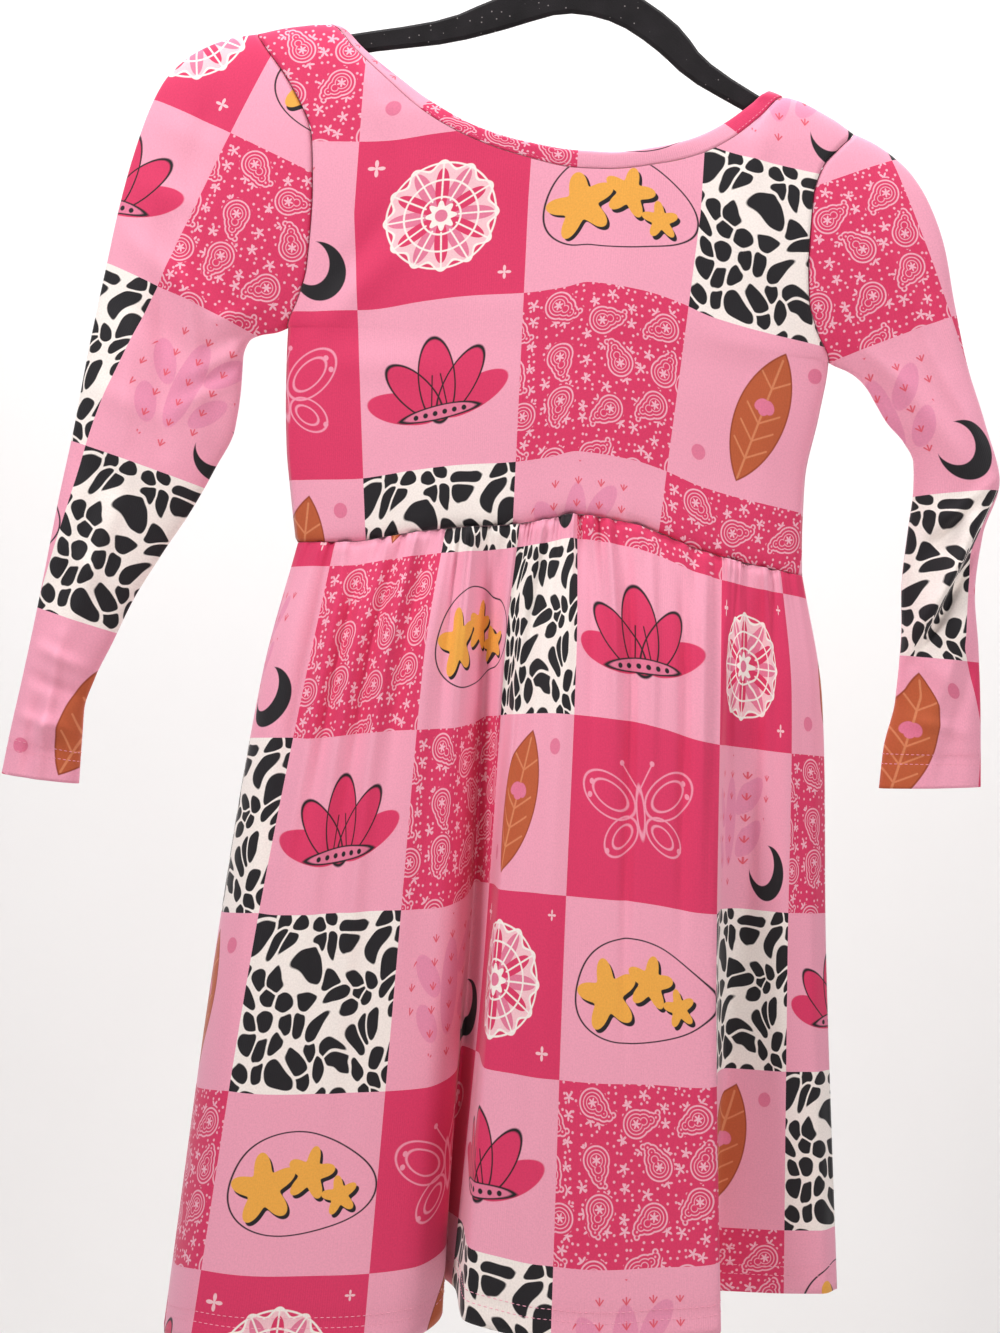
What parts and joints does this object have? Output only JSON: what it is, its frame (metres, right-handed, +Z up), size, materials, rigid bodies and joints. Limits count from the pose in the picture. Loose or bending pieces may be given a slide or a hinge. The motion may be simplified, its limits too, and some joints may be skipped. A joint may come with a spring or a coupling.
{
  "type": "long sleeve dress on a hanger",
  "caption": "Child's knit dress with a wide scoop neck, long sleeves and a gathered skirt, hanging on a slim flocked hanger with a wire hook.",
  "frame": {"origin": "inside top of the hook, where a rail carries the hanger", "axes": "+Z up, -Y out of the dress's front, +X towards the wearer's left sleeve"},
  "size_m": [0.574, 0.151, 0.9027],
  "materials": {
    "cloth": "printed matte knit",
    "binding": "printed matte knit",
    "flock": "flocked",
    "wire": "polished"
  },
  "bodies": {
    "root": {"bodice_front": "cloth", "bodice_back": "cloth", "skirt_front": "cloth", "skirt_back": "cloth", "sleeve_right": "cloth", "sleeve_left": "cloth", "neck_binding": "binding", "hanger_body": "flock", "hanger_hook": "wire"}
  },
  "joints": []
}
